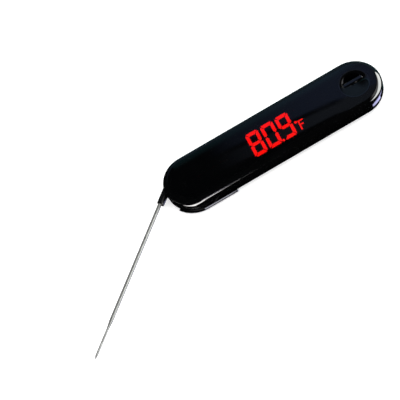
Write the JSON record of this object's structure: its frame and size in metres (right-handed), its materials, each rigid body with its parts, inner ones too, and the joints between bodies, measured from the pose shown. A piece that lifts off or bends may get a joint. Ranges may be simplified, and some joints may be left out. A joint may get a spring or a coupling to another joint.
{
  "type": "folding instant-read thermometer",
  "caption": "Pocket food thermometer: slim stadium-shaped display body with a swing-out needle probe, a lit numeric display and a hanging eye.",
  "frame": {"origin": "where the probe's hinge axis meets the plane of the flat back", "axes": "+X along the body from the probe end to the hanging-eye end, +Z out of the display face, +Y to the closed long side; the probe swings out on the -Y side"},
  "size_m": [0.2661, 0.0989, 0.0144],
  "materials": {
    "gloss_black": "polished piano black",
    "smoked_acrylic": "smoked acrylic with a hard gloss",
    "black_nylon": "satin moulded nylon",
    "stainless": "fine circumferential grind",
    "lit_red": "glowing light pipe",
    "unlit_red": "dark light pipe",
    "reflector": "black display frame",
    "board_green": "solder mask on glass-epoxy board",
    "chip_black": "moulded epoxy",
    "cream_plastic": "nylon connector",
    "tin": "tinned parts",
    "nickel": "nickel plate",
    "seal_rubber": "silicone rubber",
    "button_rubber": "matte rubber",
    "adhesive": "double-sided foam adhesive",
    "lead_sheath": "twin lead sheath",
    "washer_nylon": "natural nylon"
  },
  "bodies": {
    "body": {"front_shell": "gloss_black", "display_lens": "smoked_acrylic", "lens_adhesive": "adhesive", "back_shell": "gloss_black", "case_seal": "seal_rubber", "case_screws": "nickel", "display_housing": "reflector", "segments_lit": "lit_red", "segments_unlit": "unlit_red", "led_emitters": "cream_plastic", "main_board": "board_green", "controller_chip": "chip_black", "small_components": "tin", "hall_sensor": "chip_black", "lead_connector": "cream_plastic", "board_leads": "lead_sheath", "unit_switch": "chip_black", "back_magnets": "nickel", "coin_cell": "nickel", "centre_contact": "tin", "edge_contact": "tin", "hang_eye": "gloss_black", "hang_bar": "gloss_black"},
    "probe": {"probe_hub": "black_nylon", "hub_cover": "black_nylon", "hub_seal": "seal_rubber", "hub_clip": "tin", "friction_washer": "washer_nylon", "thrust_washer": "washer_nylon", "hub_magnet": "nickel", "needle": "stainless", "tip_sensor": "chip_black", "probe_leads": "lead_sheath"},
    "battery_door": {"battery_door": "black_nylon", "door_seal": "seal_rubber"},
    "unit_button": {"unit_button": "button_rubber", "switch_plunger": "cream_plastic"}
  },
  "joints": [
    {"name": "probe_fold", "type": "hinge", "parent": "body", "child": "probe", "pos_m": [0, 0, 0.0061], "axis": [0, 0, 1], "range_deg": [-40.3, 141.9]},
    {"name": "battery_door_turn", "type": "hinge", "parent": "body", "child": "battery_door", "pos_m": [0.1005, 0.0004, 0], "axis": [0, 0, 1], "range_deg": [0, 45]},
    {"name": "unit_button_press", "type": "slide", "parent": "body", "child": "unit_button", "axis": [0, 0, 1], "range_m": [0, 0.0005], "stiffness_N_per_m": 1500}
  ]
}
